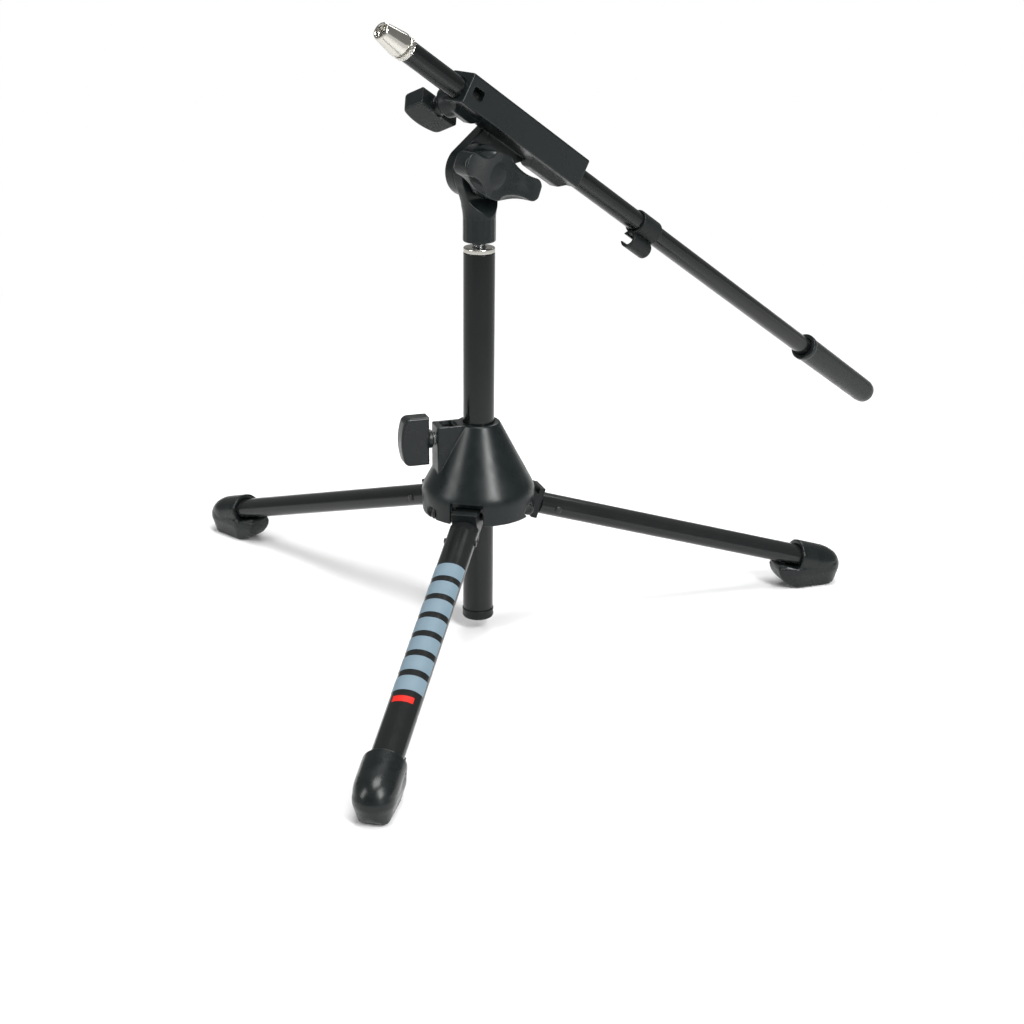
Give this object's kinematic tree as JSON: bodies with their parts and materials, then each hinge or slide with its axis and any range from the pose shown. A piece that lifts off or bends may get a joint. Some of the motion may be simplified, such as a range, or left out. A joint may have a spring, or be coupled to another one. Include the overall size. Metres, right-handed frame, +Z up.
{
  "type": "desktop microphone stand",
  "caption": "Low folding tripod microphone stand with a sliding column and a tilting, sliding boom arm that ends in a threaded microphone adapter.",
  "frame": {"origin": "middle of the bounding box, on the floor under the stand", "axes": "+Z up; the boom lies in the XZ plane at rest, its microphone end towards -X and its tail towards +X"},
  "size_m": [0.7078, 0.4796, 0.4384],
  "materials": {
    "casting_black": "satin black lacquer on a die casting",
    "tube_paint": "black powder coat, low sheen",
    "nylon_black": "moulded black nylon",
    "knob_plastic": "fine-grained black plastic",
    "rubber_black": "moulded black rubber",
    "nickel_plate": "bright nickel plate",
    "zinc_steel": "zinc-plated steel",
    "black_steel": "blackened steel pins and rivets"
  },
  "bodies": {
    "base": {"hub_housing": "casting_black", "height_clamp_nut": "zinc_steel", "height_clamp_shoe": "nylon_black", "front_leg_pin": "black_steel", "right_leg_pin": "black_steel", "left_leg_pin": "black_steel"},
    "front_leg": {"front_leg_tube": "tube_paint", "front_leg_fitting": "nylon_black", "front_leg_rivet": "black_steel", "front_foot": "rubber_black"},
    "right_leg": {"right_leg_tube": "tube_paint", "right_leg_fitting": "nylon_black", "right_leg_rivet": "black_steel", "right_foot": "rubber_black"},
    "left_leg": {"left_leg_tube": "tube_paint", "left_leg_fitting": "nylon_black", "left_leg_rivet": "black_steel", "left_foot": "rubber_black"},
    "height_knob": {"height_knob": "knob_plastic", "height_knob_stud": "zinc_steel"},
    "column": {"column_tube": "tube_paint", "column_end_cap": "nylon_black", "column_insert": "nickel_plate", "thread_stud": "zinc_steel"},
    "swivel": {"swivel_base": "casting_black", "friction_washer": "rubber_black"},
    "boom_clamp": {"boom_clamp_body": "casting_black", "tilt_bolt": "zinc_steel", "tilt_washer": "zinc_steel", "boom_clamp_shoe": "nylon_black"},
    "tilt_handle": {"tilt_handle": "knob_plastic", "tilt_nut": "zinc_steel"},
    "boom_knob": {"boom_clamp_knob": "knob_plastic", "boom_clamp_stud": "zinc_steel"},
    "boom": {"boom_tube": "tube_paint", "adapter_ring": "nickel_plate", "mic_adapter": "nickel_plate", "tail_grip": "rubber_black"},
    "cable_clip": {"cable_clip": "nylon_black"}
  },
  "joints": [
    {"name": "front_leg_fold", "type": "hinge", "parent": "base", "child": "front_leg", "pos_m": [-0.13366, -0.07476, 0.098], "axis": [0.5906, -0.807, 0], "range_deg": [0, 68]},
    {"name": "right_leg_fold", "type": "hinge", "parent": "base", "child": "right_leg", "pos_m": [-0.08286, -0.06925, 0.098], "axis": [0.4035, 0.915, 0], "range_deg": [0, 68]},
    {"name": "left_leg_fold", "type": "hinge", "parent": "base", "child": "left_leg", "pos_m": [-0.11304, -0.02801, 0.098], "axis": [-0.9942, -0.108, 0], "range_deg": [0, 68]},
    {"name": "height_knob_turn", "type": "hinge", "parent": "base", "child": "height_knob", "pos_m": [-0.14645, -0.0412, 0.1496], "axis": [-0.915, 0.4035, 0], "range_deg": [0, 720]},
    {"name": "column_slide", "type": "slide", "parent": "base", "child": "column", "axis": [0, 0, 1], "range_m": [-0.006, 0.08]},
    {"name": "swivel_pan", "type": "hinge", "parent": "column", "child": "swivel", "pos_m": [-0.10985, -0.05734, 0.295], "axis": [0, 0, 1], "range_deg": [-180, 180]},
    {"name": "boom_tilt", "type": "hinge", "parent": "swivel", "child": "boom_clamp", "pos_m": [-0.10985, -0.05734, 0.3355], "axis": [0, 1, 0], "range_deg": [-80, 8]},
    {"name": "tilt_handle_turn", "type": "hinge", "parent": "boom_clamp", "child": "tilt_handle", "pos_m": [-0.10985, -0.05734, 0.3355], "axis": [0, -1, 0], "range_deg": [0, 720]},
    {"name": "boom_knob_turn", "type": "hinge", "parent": "boom_clamp", "child": "boom_knob", "pos_m": [-0.12167, -0.05734, 0.388], "axis": [-0.2516, 0.8829, -0.3964], "range_deg": [0, 720]},
    {"name": "boom_slide", "type": "slide", "parent": "boom_clamp", "child": "boom", "axis": [-0.8443, 0, 0.5358], "range_m": [-0.045, 0.05]},
    {"name": "cable_clip_slide", "type": "slide", "parent": "boom", "child": "cable_clip", "axis": [-0.8443, 0, 0.5358], "range_m": [-0.215, 0.02]}
  ]
}
